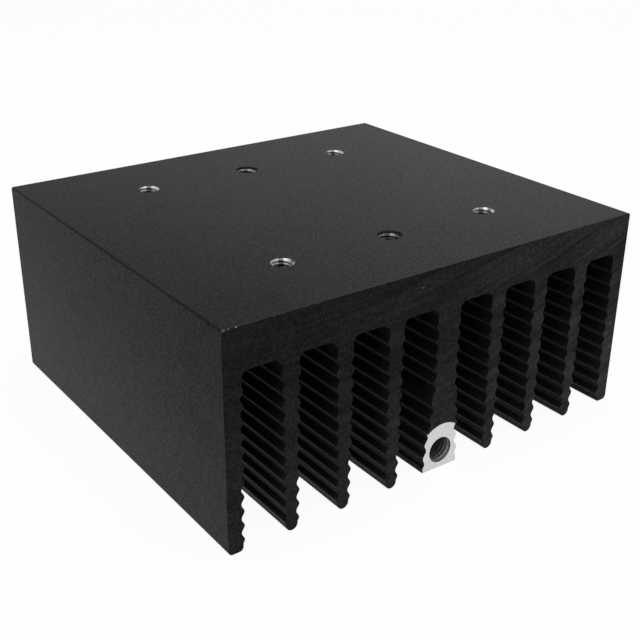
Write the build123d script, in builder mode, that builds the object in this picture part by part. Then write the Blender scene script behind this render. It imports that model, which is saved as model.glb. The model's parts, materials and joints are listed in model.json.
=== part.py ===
from build123d import *
import math
import os

# Extruded heat sink in one piece: a thick base with ridged fins below it.
# X runs across the fins, Y along the extrusion and Z up.
# The origin is in the middle of the footprint, level with the fin tips.
# All sizes are in millimetres.

# The extrusion as a whole
width = 90.0
length = 81.0
height = 40.0
base_thickness = 7.5
long_edge_radius = 0.4

# Fins, measured over the crests of their ridges
first_fin = 11.63
fin_pitch = 10.55
fin_root = 3.7
fin_tip = 2.8
narrowest_channel = 5.0
root_radius = 1.35

# Side walls, which are smooth outside and ridged inside
side_wall_root = 3.5
side_wall_tip = 3.1
side_wall_tip_radius = 0.8

# Ridges that run along every channel wall: round crests, straight flanks, flat grooves
ridge_pitch = 2.7
ridge_height = 0.53
crest_radius = 0.65
groove_floor = 0.5
first_ridge_drop = 3.4
last_ridge_clearance = 1.9

# Plain stretch above and below the ridges, part of the way down to the groove floors
plain_depth = 0.27

# Centre leg, which flares out to hold the earth screw and is trimmed flat at its foot
leg_root = 5.5
leg_foot = 7.9
flare_top = 16.4
flare_angle = 5.5
flare_groove = 12.5

# Tapped holes in the mounting face
hole_spacing_across = 46.0
hole_spacing_along = 47.6
thread_radius = 2.0
hole_depth = 6.5
outer_mouth_radius = 2.05
middle_mouth_radius = 2.4

# Tapped hole and spot face in the front end of the leg
earth_thread_radius = 2.5
earth_mouth_radius = 2.55
earth_hole_depth = 12.0
earth_hole_height = 3.65
spot_face_radius = 5.6
spot_face_depth = 0.35

countersink_angle = 90.0
drill_point_angle = 118.0
cutter_overrun = 1.0

# Heights and counts that follow from the sizes above
root_height = height - base_thickness
first_crest = root_height - first_ridge_drop
ridge_pitches = int((first_crest - last_ridge_clearance) / ridge_pitch)
fins_a_side = 1 + int((width / 2 - side_wall_root - narrowest_channel - first_fin) / fin_pitch)

# Slope of the flanks, which run from the groove floors to touch the round crests
flank_width = (ridge_pitch - groove_floor) / 2
flank_reach = math.sqrt(flank_width**2 - ridge_height * (2 * crest_radius - ridge_height))
flank_slope = math.tan(2 * math.atan(ridge_height / (flank_width + flank_reach)))

# Where the flanks meet: in a point over each crest, and on the crest line beside a groove
ridge_point = flank_width * flank_slope - ridge_height
groove_half_mouth = groove_floor / 2 + ridge_height / flank_slope
plain_end = flank_width - (ridge_height - plain_depth) / flank_slope


def crest_height(number):
    """Height of a crest, counted from the topmost; a half number is the groove below it"""
    return first_crest - number * ridge_pitch


def taper(root, tip):
    """Thickness of a fin at any height, from its root at the base to its tip"""
    return lambda z: tip + (root - tip) * z / root_height


def leg_width(z):
    """Width of the centre leg at any height before it is trimmed: straight, then flared"""
    return leg_root + 2 * math.tan(math.radians(flare_angle)) * max(flare_top - z, 0.0)


def wall_corners(crest_x, grooves, ending):
    """Corners of a right-hand wall from its root to its foot, with its crests still sharp.

    Each corner is first a height and a depth behind the crest line. Grooves one pitch
    apart share a crest, and between two that are further apart the wall is plain.
    """
    corners = [(root_height, plain_depth), (first_crest + plain_end, plain_depth)]
    corners.append((first_crest, -ridge_point))
    for above, groove in zip([None, *grooves], grooves):
        if above and above - groove > 1.1 * ridge_pitch:
            corners += [(above - groove_half_mouth, 0.0), (groove + groove_half_mouth, 0.0)]
        elif above:
            corners.append(((above + groove) / 2, -ridge_point))
        corners += [(groove + groove_floor / 2, ridge_height), (groove - groove_floor / 2, ridge_height)]
    return [(crest_x(z) - depth, z) for z, depth in corners + ending]


def round_crests(sketch, crest_x):
    """Rounds every corner of a sketch that stands at or beyond its walls' crest line"""
    height_range = (last_crest - ridge_pitch, first_crest + ridge_pitch / 2)
    crests = [
        corner
        for corner in sketch.vertices().filter_by_position(Axis.Y, *height_range)
        if corner.Y > 0 and corner.X > crest_x(corner.Y) - plain_depth / 2
    ]
    fillet(crests, radius=crest_radius)


fin_grooves = [crest_height(number + 0.5) for number in range(ridge_pitches)]
last_crest = crest_height(ridge_pitches)
fin_ending = [(last_crest, -ridge_point), (last_crest - plain_end, plain_depth)]

# One thin fin on its own centre line, ridged on both sides, with a rounded tip
fin_thickness = taper(fin_root, fin_tip)
tip_radius = fin_tip / 2 - plain_depth
with BuildSketch() as half_fin:
    with BuildLine():
        Polyline(
            (0, root_height),
            *wall_corners(lambda z: fin_thickness(z) / 2, fin_grooves, fin_ending),
            (tip_radius, tip_radius),
        )
        ThreePointArc(
            (tip_radius, tip_radius),
            (tip_radius * math.sin(math.pi / 4), tip_radius * (1 - math.cos(math.pi / 4))),
            (0, 0),
        )
        Line((0, 0), (0, root_height))
    make_face()
    round_crests(half_fin, lambda z: fin_thickness(z) / 2)

# The left side wall, flush with the base outside
side_thickness = taper(side_wall_root, side_wall_tip)
side_face = -width / 2
with BuildSketch() as side_wall:
    with BuildLine():
        Polyline(
            (side_face, root_height),
            *wall_corners(lambda z: side_face + side_thickness(z), fin_grooves, fin_ending),
            (side_face + side_wall_tip - plain_depth, 0),
            (side_face, 0),
            close=True,
        )
    make_face()
    round_crests(side_wall, lambda z: side_face + side_thickness(z))
    fillet(side_wall.vertices().group_by(Axis.Y)[0], radius=side_wall_tip_radius)

# The centre leg, whose grooves on the flare are out of step with those above it
straight_grooves = [z for z in fin_grooves if z > flare_top]
flare_pitches = int((flare_groove - groove_half_mouth) / ridge_pitch)
flare_grooves = [flare_groove - number * ridge_pitch for number in range(flare_pitches + 1)]
lowest_mouth = flare_grooves[-1] - groove_half_mouth
with BuildSketch() as half_leg:
    with BuildLine():
        Polyline(
            (0, root_height),
            *wall_corners(
                lambda z: leg_width(z) / 2,
                straight_grooves + flare_grooves,
                [(lowest_mouth, 0.0), (0.0, 0.0)],
            ),
            (0, 0),
            close=True,
        )
    make_face()
    round_crests(half_leg, lambda z: leg_width(z) / 2)
    Rectangle(leg_foot, 2 * root_height, mode=Mode.INTERSECT)

# The whole section, as it comes out of the die
fin_places = [first_fin + fin_pitch * number for number in range(fins_a_side)]
with BuildSketch(Plane.XZ.offset(length / 2)) as section:
    with Locations((0, height - base_thickness / 2)):
        Rectangle(width, base_thickness)
    add(half_leg.sketch)
    add(side_wall.sketch)
    with Locations(*[(x, 0) for x in fin_places]):
        add(half_fin.sketch)
        add(mirror(half_fin.sketch, about=Plane.YZ, mode=Mode.PRIVATE))
    mirror(about=Plane.YZ)
    fillet(section.vertices().group_by(Axis.Y)[-1], radius=long_edge_radius)
    channel_corners = [
        corner
        for corner in section.vertices()
        if abs(corner.Y - root_height) < 1e-6 and abs(corner.X) < width / 2 - side_wall_root / 2
    ]
    fillet(channel_corners, radius=root_radius)


def drilled_hole(radius, depth, mouth_radius):
    """Cutter for a countersunk blind hole that opens upwards at the origin"""
    countersink = (mouth_radius - radius) / math.tan(math.radians(countersink_angle / 2))
    drill_point = radius / math.tan(math.radians(drill_point_angle / 2))
    with BuildPart() as cutter:
        with BuildSketch(Plane.XZ):
            with BuildLine():
                Polyline(
                    (0, cutter_overrun),
                    (mouth_radius, cutter_overrun),
                    (mouth_radius, 0),
                    (radius, -countersink),
                    (radius, -depth),
                    (0, -depth - drill_point),
                    close=True,
                )
            make_face()
        revolve(axis=Axis.Z)
    return cutter.part


outer_hole = drilled_hole(thread_radius, hole_depth, outer_mouth_radius)
middle_hole = drilled_hole(thread_radius, hole_depth, middle_mouth_radius)
earth_hole = drilled_hole(earth_thread_radius, earth_hole_depth, earth_mouth_radius)

# The finished part: the section sawn to length, then drilled and spot faced
mounting_face = Plane.XY.offset(height)
front_end = Plane(origin=(0, -length / 2, earth_hole_height), x_dir=(1, 0, 0), z_dir=(0, -1, 0))
with BuildPart() as heat_sink:
    extrude(section.sketch, amount=-length)
    with Locations(mounting_face):
        with GridLocations(hole_spacing_across, hole_spacing_along, 2, 2):
            add(outer_hole, mode=Mode.SUBTRACT)
        with GridLocations(0, hole_spacing_along, 1, 2):
            add(middle_hole, mode=Mode.SUBTRACT)
    with Locations(front_end.offset(-spot_face_depth)):
        Cylinder(
            radius=spot_face_radius,
            height=spot_face_depth + cutter_overrun,
            align=(Align.CENTER, Align.CENTER, Align.MIN),
            mode=Mode.SUBTRACT,
        )
        add(earth_hole, mode=Mode.SUBTRACT)

os.makedirs("parts", exist_ok=True)
heat_sink.part.label = "heat_sink"
export_step(heat_sink.part, "parts/heat_sink.step")
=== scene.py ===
import json
import math

import bmesh
import bpy
from mathutils import Matrix, Vector


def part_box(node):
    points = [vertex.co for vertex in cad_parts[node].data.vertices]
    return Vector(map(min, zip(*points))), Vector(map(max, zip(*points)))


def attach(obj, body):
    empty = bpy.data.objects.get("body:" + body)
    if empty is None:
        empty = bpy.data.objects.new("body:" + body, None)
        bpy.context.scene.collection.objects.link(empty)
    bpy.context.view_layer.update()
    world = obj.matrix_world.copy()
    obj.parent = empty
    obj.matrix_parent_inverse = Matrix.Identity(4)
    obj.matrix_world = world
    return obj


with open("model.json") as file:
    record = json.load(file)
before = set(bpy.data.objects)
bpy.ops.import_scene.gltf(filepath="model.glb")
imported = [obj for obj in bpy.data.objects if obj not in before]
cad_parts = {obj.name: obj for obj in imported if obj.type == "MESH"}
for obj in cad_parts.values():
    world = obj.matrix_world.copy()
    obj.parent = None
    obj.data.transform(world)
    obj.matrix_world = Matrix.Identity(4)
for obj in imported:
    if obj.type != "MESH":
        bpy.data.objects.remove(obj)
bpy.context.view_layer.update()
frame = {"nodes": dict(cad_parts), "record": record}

# Blender works in metres
MM = 0.001

# The part, as the frame gives it
SINK = frame["nodes"]["heat_sink"]
LOW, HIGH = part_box("heat_sink")
FRONT = LOW.y
TOP = HIGH.z
MOUNTS = {mount["name"]: mount for mount in frame["record"]["mounts"]}

# The spot face in the front end, which the earth screw goes into
SPOT_DEPTH = 0.35 * MM
SPOT_FACE = FRONT + SPOT_DEPTH
EARTH_HEIGHT = MOUNTS["earth_screw_hole"]["pos_m"][2]
EARTH_RADIUS = MOUNTS["earth_screw_hole"]["dims"]["r_mm"] * MM

# The relay screw holes: the outer columns, and the middle one with its wider mouths
HALF_X = MOUNTS["relay_screw_holes"]["dims"]["spacing_x_mm"] / 2 * MM
HALF_Y = MOUNTS["relay_screw_holes"]["dims"]["spacing_y_mm"] / 2 * MM
RELAY_RADIUS = MOUNTS["relay_screw_holes"]["dims"]["hole_r_mm"] * MM
COLUMNS = {"left": -HALF_X, "middle": 0.0, "right": HALF_X}
ROWS = {"front": -HALF_Y, "back": HALF_Y}

# Countersinks: how far each mouth is wider than the thread
OUTER_MOUTH = 0.05 * MM
MIDDLE_MOUTH = 0.40 * MM
EARTH_MOUTH = 0.05 * MM

# What tells their faces: depths past the holes' ends, a radius past the spot face's, and slack
RELAY_REACH = 10.0 * MM
EARTH_REACH = 20.0 * MM
SPOT_REACH = 6.0 * MM
SLACK = 0.02 * MM

# Threads for M4 and M5 screws. Fullness is a ridge's height as a share of the pitch.
RELAY_PITCH = 0.7 * MM
RELAY_FULLNESS = 0.5413
RELAY_THREAD_LENGTH = 5.6 * MM
EARTH_PITCH = 0.8 * MM
EARTH_FULLNESS = 0.06
EARTH_THREAD_LENGTH = 10.5 * MM

# A ridge's section, as (place along the hole as a share of the pitch, whether on the crest)
THREAD_PROFILE = ((-7 / 16, False), (-1 / 8, True), (1 / 8, True), (7 / 16, False))

# Steps in a turn, how deep the ridges' roots lie in the wall, the turns in which a ridge rises
# and sinks and its least share, and the turn at which each column's threads start
THREAD_STEPS = 48
THREAD_ROOT = 0.03 * MM
THREAD_RISE, THREAD_FALL, THREAD_LEAST = 0.1, 1.0, 0.05
THREAD_START = {"left": 0.58, "middle": 0.0, "right": 0.58}

# Noises, as (size of the features, detail, stretch along each axis)
EVEN = (1.0, 1.0, 1.0)
BLACK_GRAIN = (0.38 * MM, 1.0, EVEN)
BLOTCHES = (9.0 * MM, 4.0, EVEN)
DIE_LINES = (0.4 * MM, 3.0, (1.0, 0.004, 1.0))
FINE_SAW_MARKS = (0.8 * MM, 1.0, (1.0, 0.04, 1.0))
BROAD_SAW_MARKS = (3.0 * MM, 3.0, (1.0, 0.12, 1.0))
WEAR_AND_GLINT_PATCHES = (2.5 * MM, 4.0, EVEN)
RAGGED_EDGES = (0.35 * MM, 2.0, EVEN)
METAL_GRAIN = (0.35 * MM, 3.0, EVEN)
DULL_PATCHES = (1.7 * MM, 1.0, (1.0, 1.0, 0.5))
EARTH_GRAIN = (0.3 * MM, 3.0, EVEN)

# Where most of a noise's values lie, the height of every bump and how strong the two kinds are,
# and how far a normal leans to an axis before its face counts as facing that way
NOISE_RANGE = (0.3, 0.7)
RELIEF = 0.01 * MM
GRAIN_BUMP, DIE_LINE_BUMP = 0.4, 0.2
FACING = (0.85, 0.95)

# The black finish: its colour at twice the mean shade, its mean specular level and its tint
BLACK = (0.0, 0.0, 0.0)
FINISH_COLOR = (0.0110, 0.0135, 0.0124)
FINISH_GLOSS = 0.042
FINISH_TINT = (0.93, 1.0, 0.965, 1.0)

# Its shade: the shares of grain, blotches and an even tone, which make 1 on the mean, and the
# ramps (low, high, start, end) that change it: all of it by z, lighter towards the fin tips as
# painted light from the floor, and the mounting face by x, as painted shade that is darkest at
# its low end
SHADE_SHARES = (0.65, 0.70, 0.325)
PAINTED_FLOOR_LIGHT = (-10 * MM, TOP, 1.55, 1.0)
PAINTED_TOP_SHADE = (LOW.x, LOW.x + 35 * MM, 0.82, 0.96)

# Its ends: the x and z that the saw marks' arcs are struck from, the ramps of their shade by
# noise and of their strength by x, and the ramp of the ends' own shade by x
SAW_CENTRE = (-39.0 * MM, 270.0 * MM)
MARK_SHADE = (0.36, 0.64, -0.42, 0.42)
MARK_STRENGTH = (LOW.x, HIGH.x, 0.28, 1.0)
END_SHADE = (-30 * MM, 35 * MM, -0.10, 0.12)

# Its roughness, as the share of the blotches and an even part
FINISH_ROUGHNESS = (0.12, 0.36)

# Its wear, which along the edges is partly a painted highlight: the bare colour, how far the
# sharp edges look rounded, and ramps of how bare and bright they are: by the cosine of the
# rounding's turn, the distance to an end, z, x, and two noises
WEAR_AND_GLINT_COLOR = (0.30, 0.31, 0.30)
EDGE_ROUNDING = 0.12 * MM
WEAR_AND_GLINT_BY_TURN = (0.99, 0.8)
WEAR_AND_GLINT_BY_END = (0.4 * MM, 0.2 * MM)
WEAR_AND_GLINT_BY_Z = (TOP - 0.6 * MM, TOP - 0.4 * MM, 0.1, 1.0)
WEAR_AND_GLINT_BY_X = (LOW.x + 3 * MM, LOW.x + 8 * MM, 1.0, 0.45)
WEAR_AND_GLINT_BY_PATCH = (0.40, 0.65, 0.2, 1.0)
WEAR_AND_GLINT_BY_RAG = (0.40, 0.60, 0.2, 1.0)

# Bright worn specks on the front end, as (place, radius, how bare)
SPECKS = [
    ((-44.5 * MM, -40.45 * MM, 39.95 * MM), 0.35 * MM, 0.22),
    ((-43.7 * MM, -40.45 * MM, 40.0 * MM), 0.32 * MM, 0.22),
    ((-42.4 * MM, -40.45 * MM, 40.0 * MM), 0.25 * MM, 0.6),
    ((-6.5 * MM, -40.5 * MM, 37.3 * MM), 0.16 * MM, 0.4),
    ((25.1 * MM, -40.5 * MM, 35.6 * MM), 0.16 * MM, 0.4),
    ((43.5 * MM, -40.5 * MM, 17.3 * MM), 0.55 * MM, 0.15),
    ((42.9 * MM, -40.5 * MM, 15.3 * MM), 0.70 * MM, 0.08),
    ((44.1 * MM, -40.5 * MM, 12.2 * MM), 0.60 * MM, 0.10),
]

# Bare metal, with (darker, lighter) grain: in the open, and in the relay holes, which are darker
# as painted shade and have dull patches too. The ramps are of the patches by noise, of where the
# relay holes are, by the depth below the mounting face, and of how light they are, by the
# distance from the middle column.
OPEN_METAL = ((0.54, 0.55, 0.545), (0.61, 0.62, 0.61))
HOLE_METAL = ((0.36, 0.37, 0.345), (0.46, 0.47, 0.445))
HOLE_DULL = (0.10, 0.105, 0.09)
HOLE_PATCHES = (0.40, 0.58)
HOLE_DEPTHS = (12 * MM, 10 * MM)
HOLE_LIGHTNESS = (5 * MM, 6 * MM, 0.38, 1.0)

# Painted reflections: light and dark stripes down the walls of the relay holes, where the lamps'
# reflections fall, as (degrees round the hole, half width, colour). Each has this share of its
# own colour, up to the first part of its half width, and fades out by the second.
HOLE_REFLECTION_STRIPES = [
    (65.0, 14.0, (0.08, 0.085, 0.075)),
    (35.0, 12.0, (0.50, 0.51, 0.48)),
    (93.0, 15.0, (0.42, 0.43, 0.41)),
]
STRIPE_SHARE, STRIPE_FULL, STRIPE_GONE = 0.8, 0.6, 1.3

# The earth hole's metal, with (darker, lighter) grain, and the bands painted over it in turn, as
# (depth, full and gone at these distances from it, share, colour): the part near the mouth,
# lighter as painted light that gives way to painted shade deeper in, the first turn of the
# thread, as a painted highlight, and the rim
EARTH_METAL = ((0.13, 0.125, 0.10), (0.21, 0.205, 0.165))
EARTH_BANDS = [
    (0.0, 0.5 * MM, 5.0 * MM, 0.9, (0.30, 0.325, 0.30)),
    (0.6 * MM, 0.1 * MM, 0.4 * MM, 0.8, (0.46, 0.485, 0.46)),
    (0.0, 0.1 * MM, 0.3 * MM, 0.9, (0.05, 0.055, 0.052)),
]

# Roughness of the metals, as an even part, and the share of the grain in it
OPEN_ROUGHNESS, HOLE_ROUGHNESS, EARTH_ROUGHNESS = 0.32, 0.38, 0.45
GRAIN_ROUGHNESS = 0.2

# The camera, fitted to the photograph
CAMERA_PLACE = Vector((-114.02, -159.63, 105.97)) * MM
CAMERA_TARGET = Vector((0.0, -2.89, 15.28)) * MM
CAMERA_ROLL = math.radians(0.464)
CAMERA_LENS = 59.47
CAMERA_SENSOR = 36.0
CAMERA_CLIP = (0.01, 10.0)

# Lamps by name, as (place, size, power), and how strongly the white world lights
LAMPS = {
    "over": ((0.0, -0.1, 0.85), 0.6, 4.2),
    "back": ((0.6, 0.8, 0.2), 0.3, 0.08),
    "left": ((-0.8, -0.2, 0.05), 0.4, 3.0),
    "front": ((0.2, -0.8, 0.05), 0.4, 3.4),
    "right": ((0.8, 0.6, 0.25), 0.4, 0.25),
}
WORLD_LIGHT = 0.35

# The floor: its half width, its gap below the part, its colour, how white it is to the camera,
# and how white in reflections below the part, from where it fades to all white over this width
FLOOR_REACH = 3.0
FLOOR_GAP = 0.02 * MM
FLOOR_COLOR = (0.9, 0.9, 0.9)
FLOOR_WHITE = 0.95
FLOOR_MIRROR = 0.85
FLOOR_FADE = 5.0 * MM


class Nodes:
    """Short words for building the nodes of a material or of the world"""

    def __init__(self, owner, output):
        owner.use_nodes = True
        self.nodes, self.links = owner.node_tree.nodes, owner.node_tree.links
        self.nodes.clear()
        self.surface = self.nodes.new(output).inputs["Surface"]

    def link(self, source, target):
        """Feeds an input from another node's output, or sets it to a plain value"""
        if isinstance(source, bpy.types.NodeSocket):
            self.links.new(source, target)
        else:
            target.default_value = source

    def new(self, kind, inputs, output=0, **settings):
        """Adds a node, with its inputs by name or number, and gives one of its outputs"""
        node = self.nodes.new("ShaderNode" + kind)
        for name, value in settings.items():
            setattr(node, name, value)
        for name, value in inputs.items():
            self.link(value, node.inputs[name])
        return node.outputs[output]

    def math(self, operation, first, second=0.0):
        return self.new("Math", {0: first, 1: second}, operation=operation)

    def plus(self, total, *others):
        for other in others:
            total = self.math("ADD", total, other)
        return total

    def times(self, product, *others):
        for other in others:
            product = self.math("MULTIPLY", product, other)
        return product

    def ramp(self, value, low, high, start=0.0, end=1.0):
        """Value carried smoothly from the range low..high to start..end, and held outside it"""
        inputs = dict(enumerate((value, low, high, start, end)))
        return self.new("MapRange", inputs, interpolation_type="SMOOTHSTEP")

    def blend(self, share, first, second):
        """Two shaders in one: all first where share is 0, all second where it is 1"""
        return self.new("MixShader", {0: share, 1: first, 2: second})

    def rays(self):
        """Flags of the rays that come from the camera, and from mirroring or clear surfaces"""
        path = self.nodes.new("ShaderNodeLightPath").outputs
        mirrored = self.math("MAXIMUM", path["Is Glossy Ray"], path["Is Transmission Ray"])
        return path["Is Camera Ray"], mirrored


class Shader(Nodes):
    """Short words for painting one material, mostly by the place on the object"""

    def __init__(self, name):
        self.material = bpy.data.materials.new(name)
        super().__init__(self.material, "ShaderNodeOutputMaterial")
        self.place = self.new("TexCoord", {}, "Object")

    def vector(self, operation, first, second, output=0):
        return self.new("VectorMath", {0: first, 1: second}, output, operation=operation)

    def joined(self, x, y, z=0.0):
        return self.new("CombineXYZ", {"X": x, "Y": y, "Z": z})

    def axis(self, source, letter):
        return self.new("SeparateXYZ", {"Vector": source}, letter)

    def noise(self, size, detail, stretch, place=None):
        """Noise with features of about the given size in metres, longer where stretch is small"""
        scaled = self.vector("MULTIPLY", place or self.place, [part / size for part in stretch])
        return self.new("TexNoise", {"Vector": scaled, "Scale": 1.0, "Detail": detail}, "Fac")

    def mix(self, factor, first, second):
        """One colour carried to another, each a socket or plain red, green and blue"""
        inputs = {0: factor}
        for number, color in ((6, first), (7, second)):
            plain = not isinstance(color, bpy.types.NodeSocket)
            inputs[number] = (*color, 1.0) if plain else color
        return self.new("Mix", inputs, 2, data_type="RGBA")

    def bump(self, height, strength, below=None):
        """The normal that a height gives, over the plain surface or over another normal"""
        inputs = {"Height": height, "Strength": strength, "Distance": RELIEF}
        if below is not None:
            inputs["Normal"] = below
        return self.new("Bump", inputs)

    def rounded(self, radius):
        """The surface's normal as it would be with every sharp edge rounded"""
        return self.new("Bevel", {"Radius": radius}, samples=4)

    def flat_normal(self):
        return self.new("NewGeometry", {}, "True Normal")

    def finish(self, inputs):
        """Ends the material with one Principled shader, whose inputs are given by name"""
        self.link(self.new("BsdfPrincipled", inputs), self.surface)
        return self.material


def saw_marks(s, x, z, flat):
    """A tone of about 1: long flat arcs on both ends, which grow stronger and lighter with x"""
    from_centre = s.vector("DISTANCE", s.joined(x, z), (*SAW_CENTRE, 0.0), "Value")
    arcs = s.joined(from_centre, x)
    both = s.plus(s.noise(*FINE_SAW_MARKS, arcs), s.noise(*BROAD_SAW_MARKS, arcs))
    marks = s.times(s.ramp(s.times(both, 0.5), *MARK_SHADE), s.ramp(x, *MARK_STRENGTH))
    on_end = s.ramp(s.math("ABSOLUTE", s.axis(flat, "Y")), *FACING)
    return s.plus(s.times(s.plus(marks, s.ramp(x, *END_SHADE)), on_end), 1.0)


def wear_and_glint(s, x, z, flat, rounded):
    """How bare the finish is worn, along the sharp edges of the ends and in single specks. Along
    the edges it is partly wear and partly a painted highlight.

    The edges of the mounting face are the most worn and carry the most painted highlight, mainly
    at the low end of x.
    """
    turn = s.vector("DOT_PRODUCT", flat, rounded, "Value")
    to_end = s.math("SUBTRACT", HIGH.y, s.math("ABSOLUTE", s.axis(s.place, "Y")))
    along = s.times(s.ramp(z, *WEAR_AND_GLINT_BY_Z), s.ramp(x, *WEAR_AND_GLINT_BY_X))
    patches = s.ramp(s.noise(*WEAR_AND_GLINT_PATCHES), *WEAR_AND_GLINT_BY_PATCH)
    ragged = s.ramp(s.noise(*RAGGED_EDGES), *WEAR_AND_GLINT_BY_RAG)
    edge = s.times(s.ramp(turn, *WEAR_AND_GLINT_BY_TURN), s.ramp(to_end, *WEAR_AND_GLINT_BY_END))
    # Along the edges this is partly wear and partly a painted highlight; the specks are wear
    bare = s.times(edge, along, patches, ragged)
    for place, radius, share in SPECKS:
        away = s.vector("DISTANCE", s.place, place, "Value")
        speck = s.times(s.ramp(away, radius * 0.5, radius, share, 0.0), ragged)
        bare = s.math("MAXIMUM", bare, speck)
    return bare


def black_anodised():
    """Satin black: fine grain, faint blotches, die lines, saw marks on the ends and worn edges,
    with a painted highlight along the edges, painted light towards the fin tips and painted shade
    on the mounting face.

    One shade, about 1 on the mean, sets both the colour and the strength of the reflections.
    """
    s = Shader("black_anodised")
    x, z = s.axis(s.place, "X"), s.axis(s.place, "Z")
    flat, rounded = s.flat_normal(), s.rounded(EDGE_ROUNDING)
    grain = s.ramp(s.noise(*BLACK_GRAIN), *NOISE_RANGE)
    blotches = s.noise(*BLOTCHES)

    grain_share, blotch_share, even = SHADE_SHARES
    shade = s.plus(s.times(grain, grain_share), s.times(blotches, blotch_share), even)
    # Painted shade on the mounting face: darker than the rest, and darkest at the low end of x
    top_painted_shade = s.ramp(s.axis(flat, "Z"), *FACING, 1.0, s.ramp(x, *PAINTED_TOP_SHADE))
    # Painted light from the floor: everything lighter towards the fin tips, by z
    shade = s.times(shade, saw_marks(s, x, z, flat), top_painted_shade, s.ramp(z, *PAINTED_FLOOR_LIGHT))
    color = s.mix(s.times(shade, 0.5), BLACK, FINISH_COLOR)

    blotch_share, even = FINISH_ROUGHNESS
    inputs = {
        "Base Color": s.mix(wear_and_glint(s, x, z, flat, rounded), color, WEAR_AND_GLINT_COLOR),
        "Roughness": s.plus(s.times(blotches, blotch_share), even),
        "Specular IOR Level": s.times(shade, FINISH_GLOSS),
        "Specular Tint": FINISH_TINT,
        "Normal": s.bump(s.noise(*DIE_LINES), DIE_LINE_BUMP, s.bump(grain, GRAIN_BUMP, rounded)),
    }
    return s.finish(inputs)


def bare_aluminium():
    """Machined metal: bright and mottled where it lies open, with painted shade and reflections
    down in the tapped holes
    """
    s = Shader("bare_aluminium")
    x, y, z = (s.axis(s.place, letter) for letter in "XYZ")
    grain = s.noise(*METAL_GRAIN)
    mottle = s.ramp(grain, *NOISE_RANGE)
    patches = s.ramp(s.noise(*DULL_PATCHES), *HOLE_PATCHES)
    hole_color = s.mix(patches, HOLE_DULL, s.mix(mottle, *HOLE_METAL))

    # Painted reflections: upright light and dark stripes on the wall of each tapped hole, at
    # fixed angles round its middle
    column = s.times(s.math("ROUND", s.math("DIVIDE", x, HALF_X)), HALF_X)
    row = s.times(s.math("SIGN", y), HALF_Y)
    angle = s.math("ARCTAN2", s.math("SUBTRACT", y, row), s.math("SUBTRACT", x, column))
    for degrees, half_width, reflection_color in HOLE_REFLECTION_STRIPES:
        away = s.math("ABSOLUTE", s.math("SUBTRACT", angle, math.radians(degrees)))
        full, gone = (math.radians(part * half_width) for part in (STRIPE_FULL, STRIPE_GONE))
        stripe = s.ramp(away, full, gone, STRIPE_SHARE, 0.0)
        hole_color = s.mix(stripe, hole_color, reflection_color)
    lightness = s.ramp(s.math("ABSOLUTE", x), *HOLE_LIGHTNESS)
    hole_color = s.mix(lightness, BLACK, hole_color)

    # The relay holes end high in the part, and the open metal is low on the leg
    in_hole = s.ramp(s.math("SUBTRACT", TOP, z), *HOLE_DEPTHS)
    roughness = s.ramp(in_hole, 0.0, 1.0, OPEN_ROUGHNESS, HOLE_ROUGHNESS)
    inputs = {
        "Base Color": s.mix(in_hole, s.mix(mottle, *OPEN_METAL), hole_color),
        "Metallic": 1.0,
        "Roughness": s.plus(s.times(grain, GRAIN_ROUGHNESS), roughness),
        "Normal": s.bump(grain, GRAIN_BUMP),
    }
    return s.finish(inputs)


def dark_thread():
    """The earth hole was tapped before the anodising, so its thread is dark grey-green inside.

    It is lighter near the mouth, as painted light that gives way to painted shade deeper in, and
    most of all on the first turn, as a painted highlight, and dark again at the rim.
    """
    s = Shader("dark_thread")
    grain = s.noise(*EARTH_GRAIN)
    color = s.mix(s.ramp(grain, *NOISE_RANGE), *EARTH_METAL)
    depth = s.math("SUBTRACT", s.axis(s.place, "Y"), SPOT_FACE)
    for middle, full, gone, share, band_color in EARTH_BANDS:
        away = s.math("ABSOLUTE", s.math("SUBTRACT", depth, middle))
        color = s.mix(s.ramp(away, full, gone, share, 0.0), color, band_color)
    inputs = {
        "Base Color": color,
        "Metallic": 1.0,
        "Roughness": s.plus(s.times(grain, GRAIN_ROUGHNESS), EARTH_ROUGHNESS),
        "Normal": s.bump(grain, GRAIN_BUMP),
    }
    return s.finish(inputs)


def on_spot_face(x, y, z, normal):
    near = math.hypot(x, z - EARTH_HEIGHT) < SPOT_REACH
    return near and abs(y - SPOT_FACE) < SLACK and normal.y < -FACING[0]


def in_earth_hole(x, y, z):
    near = math.hypot(x, z - EARTH_HEIGHT) < EARTH_RADIUS + EARTH_MOUTH
    return near and SPOT_FACE + SLACK / 2 < y < FRONT + EARTH_REACH


def in_relay_hole(x, y, z):
    """The wide cones at the mouths of the middle holes don't count, so they stay black"""
    for hole_x in COLUMNS.values():
        for hole_y in ROWS.values():
            reach = RELAY_RADIUS + (OUTER_MOUTH if hole_x else 0.0) + SLACK
            if math.hypot(x - hole_x, y - hole_y) < reach:
                return TOP - RELAY_REACH < z < TOP - SLACK / 2
    return False


def dress_sink(black, bare, dark):
    """Puts the anodised finish on the part, and the others on the surfaces machined into it"""
    mesh = SINK.data
    mesh.materials.clear()
    for material in (black, bare, dark):
        mesh.materials.append(material)
    for face in mesh.polygons:
        if on_spot_face(*face.center, face.normal) or in_relay_hole(*face.center):
            face.material_index = 1
        else:
            face.material_index = 2 if in_earth_hole(*face.center) else 0


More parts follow.
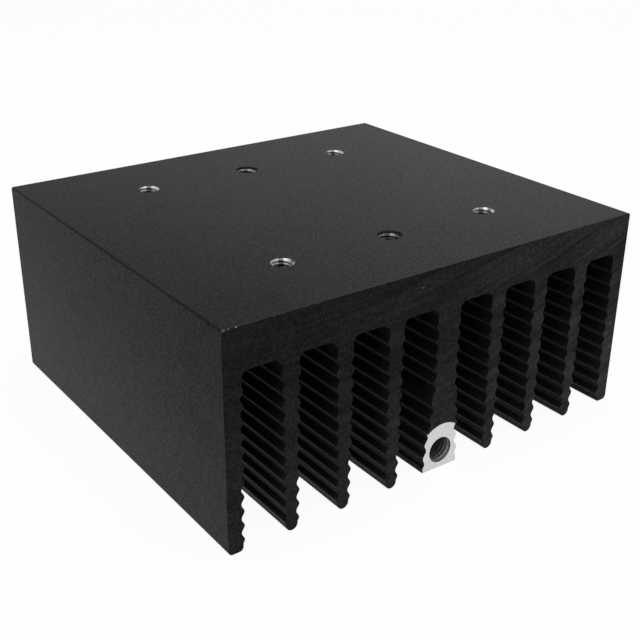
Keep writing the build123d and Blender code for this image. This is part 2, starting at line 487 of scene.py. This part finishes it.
def thread(name, mouth, into, size, run, material):
    """The ridge of a tapped thread, as one closed solid that stands in from the wall of a bore.

    mouth is the middle of the hole's mouth and into the direction that it goes in. size is the
    thread's radius, pitch and fullness, and run its countersink, length and starting turn. The
    countersink's cone cuts the first turn, and the ridge fades into the wall at its far end.
    """
    radius, pitch, fullness = size
    countersink, length, start = run
    across = Vector((1, 0, 0))
    up = into.cross(across)
    turns = length / pitch
    made = bmesh.new()
    rings = []
    for step in range(int(turns * THREAD_STEPS) + 1):
        turn = step / THREAD_STEPS
        angle = 2 * math.pi * (turn + start)
        direction = across * math.cos(angle) + up * math.sin(angle)
        share = min(1.0, turn / THREAD_RISE, (turns - turn) / THREAD_FALL)
        depth = fullness * pitch * max(share, THREAD_LEAST)
        ring = []
        for offset, on_crest in THREAD_PROFILE:
            along = max((turn + offset) * pitch, 0.0) + THREAD_ROOT
            wall = radius + max(countersink - along, 0.0) + THREAD_ROOT
            crest = max(radius - depth, radius + countersink - along)
            out = crest if on_crest and crest < radius else wall
            ring.append(made.verts.new(mouth + into * along + direction * out))
        rings.append(ring)
    for ring, following in zip(rings, rings[1:]):
        for corner in range(len(THREAD_PROFILE)):
            beside = (corner + 1) % len(THREAD_PROFILE)
            made.faces.new((ring[corner], following[corner], following[beside], ring[beside]))
    made.faces.new(rings[0])
    made.faces.new(rings[-1])
    bmesh.ops.recalc_face_normals(made, faces=made.faces)
    mesh = bpy.data.meshes.new(name)
    made.to_mesh(mesh)
    made.free()
    mesh.materials.append(material)
    piece = bpy.data.objects.new(name, mesh)
    bpy.context.scene.collection.objects.link(piece)
    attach(piece, "root")


def cut_threads(bare, dark):
    """A thread in each tapped hole, where the record's mounts say"""
    down = Vector((0, 0, -1))
    size = (RELAY_RADIUS, RELAY_PITCH, RELAY_FULLNESS)
    for row, y in ROWS.items():
        for column, x in COLUMNS.items():
            mouth = Vector((x, y, TOP))
            countersink = OUTER_MOUTH if x else MIDDLE_MOUTH
            run = (countersink, RELAY_THREAD_LENGTH, THREAD_START[column])
            thread(f"thread_{row}_{column}", mouth, down, size, run, bare)
    back = Vector((0, 1, 0))
    mouth = Vector((0.0, SPOT_FACE, EARTH_HEIGHT))
    size = (EARTH_RADIUS, EARTH_PITCH, EARTH_FULLNESS)
    run = (EARTH_MOUTH, EARTH_THREAD_LENGTH, 0.0)
    thread("thread_earth", mouth, back, size, run, dark)


def white_world():
    """A world that looks plain white, to the camera and in reflections, and lights softly"""
    world = bpy.data.worlds.new("studio")
    bpy.context.scene.world = world
    s = Nodes(world, "ShaderNodeOutputWorld")
    white = (1.0, 1.0, 1.0, 1.0)
    lighting = s.new("Background", {"Color": white, "Strength": WORLD_LIGHT})
    plain = s.new("Background", {"Color": white, "Strength": 1.0})
    s.link(s.blend(s.math("MAXIMUM", *s.rays()), lighting, plain), s.surface)


def white_floor():
    """A pale floor under the part, with a faint shadow, which is fuller in reflections"""
    mesh = bpy.data.meshes.new("floor")
    far, level = FLOOR_REACH, LOW.z - FLOOR_GAP
    corners = [(-far, -far, level), (far, -far, level), (far, far, level), (-far, far, level)]
    mesh.from_pydata(corners, [], [(0, 1, 2, 3)])
    floor = bpy.data.objects.new("floor", mesh)
    bpy.context.scene.collection.objects.link(floor)
    s = Shader("floor")
    beyond_x = s.math("SUBTRACT", s.math("ABSOLUTE", s.axis(s.place, "X")), HIGH.x)
    beyond_y = s.math("SUBTRACT", s.math("ABSOLUTE", s.axis(s.place, "Y")), HIGH.y)
    outside = s.ramp(s.math("MAXIMUM", beyond_x, beyond_y), 0.0, FLOOR_FADE, FLOOR_MIRROR, 1.0)
    seen, mirrored = s.rays()
    share = s.math("MAXIMUM", s.times(seen, FLOOR_WHITE), s.times(mirrored, outside))
    shadowed = s.new("BsdfDiffuse", {"Color": (*FLOOR_COLOR, 1.0)})
    s.link(s.blend(share, shadowed, s.new("Emission", {})), s.surface)
    mesh.materials.append(s.material)


def lamp(name, place, size, power):
    """A square soft box that faces the part"""
    data = bpy.data.lights.new(name, "AREA")
    data.shape = "SQUARE"
    data.size = size
    data.energy = power
    made = bpy.data.objects.new(name, data)
    made.location = place
    aim = (LOW + HIGH) / 2 - Vector(place)
    made.rotation_euler = aim.to_track_quat("-Z", "Y").to_euler()
    bpy.context.scene.collection.objects.link(made)


def camera():
    data = bpy.data.cameras.new("camera")
    data.lens = CAMERA_LENS
    data.sensor_width = CAMERA_SENSOR
    data.clip_start, data.clip_end = CAMERA_CLIP
    made = bpy.data.objects.new("camera", data)
    turn = (CAMERA_TARGET - CAMERA_PLACE).to_track_quat("-Z", "Y").to_matrix().to_4x4()
    roll = Matrix.Rotation(CAMERA_ROLL, 4, "Z")
    made.matrix_world = Matrix.Translation(CAMERA_PLACE) @ turn @ roll
    bpy.context.scene.collection.objects.link(made)
    bpy.context.scene.camera = made


bare, dark = bare_aluminium(), dark_thread()
dress_sink(black_anodised(), bare, dark)
cut_threads(bare, dark)
white_world()
white_floor()
for name, (place, size, power) in LAMPS.items():
    lamp(name, place, size, power)
camera()
bpy.context.scene.view_settings.view_transform = "Standard"
